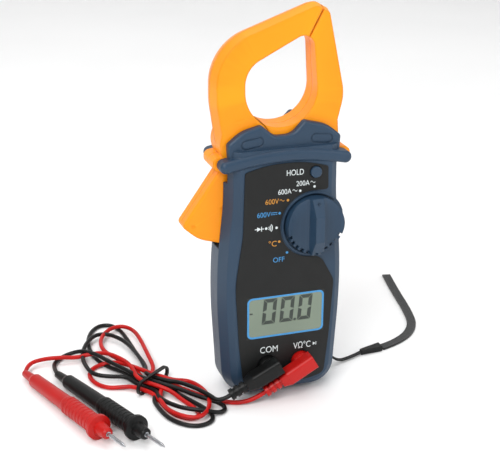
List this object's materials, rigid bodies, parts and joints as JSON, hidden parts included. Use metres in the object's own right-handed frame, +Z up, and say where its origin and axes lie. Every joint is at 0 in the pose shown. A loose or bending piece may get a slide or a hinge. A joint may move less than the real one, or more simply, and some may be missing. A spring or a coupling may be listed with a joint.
{
  "type": "clamp meter",
  "caption": "Hand-held clamp meter with orange jaws, a thumb trigger, a rotary selector, a display, plugged-in test leads with probes and a wrist strap",
  "frame": {"origin": "Middle of the case's bottom end, on the surface the meter stands on; +X is the viewer's right, -Y the display side, +Z the long axis", "axes": "x right, y back, z up"},
  "size_m": [0.2562, 0.177, 0.2094],
  "materials": {
    "case_plastic": "satin",
    "jaw_plastic": "satin",
    "panel_print": "matte",
    "clear_window": "gloss",
    "display_glass": "satin",
    "black_plastic": "satin",
    "black_rubber": "matte",
    "board": "satin",
    "steel": "brushed",
    "brass": "satin",
    "cell_wrap": "satin",
    "core_steel": "matte",
    "copper_winding": "satin",
    "red_plastic": "satin",
    "black_cable": "satin",
    "red_cable": "satin",
    "strap_fabric": "matte"
  },
  "bodies": {
    "meter": {"front_case": "case_plastic", "rear_case": "case_plastic", "fixed_jaw_front": "jaw_plastic", "fixed_jaw_rear": "jaw_plastic", "face_panel": "panel_print", "display_lens": "clear_window", "lcd_glass": "display_glass", "lcd_holder": "black_plastic", "com_jack_housing": "black_plastic", "volt_jack_housing": "black_plastic", "battery_tray": "black_plastic", "buzzer": "black_plastic", "board_parts": "black_plastic", "strap_ferrule": "black_plastic", "zebra_strips": "black_rubber", "main_board": "board", "board_screws": "steel", "case_screws": "steel", "battery_contacts": "steel", "jaw_pivot_pin": "steel", "hold_switch": "steel", "com_jack_contact": "brass", "volt_jack_contact": "brass", "batteries": "cell_wrap", "fixed_core": "core_steel", "pickup_coil": "copper_winding", "strap_cord": "strap_fabric", "wrist_strap": "strap_fabric"},
    "jaw": {"moving_jaw_front": "jaw_plastic", "moving_jaw_rear": "jaw_plastic", "moving_core": "core_steel", "trigger_spring": "steel"},
    "selector": {"selector_knob": "case_plastic", "knob_rotor": "case_plastic", "wiper_contacts": "brass"},
    "hold": {"hold_button": "case_plastic"},
    "door": {"battery_door": "case_plastic", "battery_door_screw": "steel"},
    "test_leads": {"black_plug": "black_plastic", "red_plug": "red_plastic", "black_plug_pin": "brass", "red_plug_pin": "brass", "black_lead_from_plug": "black_cable", "red_lead_from_plug": "red_cable", "lead_hank": "black_cable", "twist_tie": "black_cable", "black_lead_to_probe": "black_cable", "red_lead_to_probe": "red_cable", "black_probe_handle": "black_plastic", "red_probe_handle": "red_plastic", "black_probe_tip": "steel", "red_probe_tip": "steel"}
  },
  "joints": [
    {"name": "jaw", "type": "hinge", "parent": "meter", "child": "jaw", "pos_m": [-0.02, 0, 0.141], "axis": [0, -1, 0], "range_deg": [0, 20], "stiffness_Nm_per_rad": 1.5, "springref_deg": -11.46},
    {"name": "selector", "type": "hinge", "parent": "meter", "child": "selector", "pos_m": [0.015, 0, 0.0972], "axis": [0, -1, 0], "range_deg": [0, 135]},
    {"name": "hold_button", "type": "slide", "parent": "meter", "child": "hold", "axis": [0, 1, 0], "range_m": [0, 0.0008], "stiffness_N_per_m": 600, "springref_m": -0.0005},
    {"name": "battery_door", "type": "slide", "parent": "meter", "child": "door", "axis": [0, 1, 0], "range_m": [0, 0.012]},
    {"name": "test_leads", "type": "slide", "parent": "meter", "child": "test_leads", "axis": [0, -1, 0], "range_m": [0, 0.016]}
  ]
}
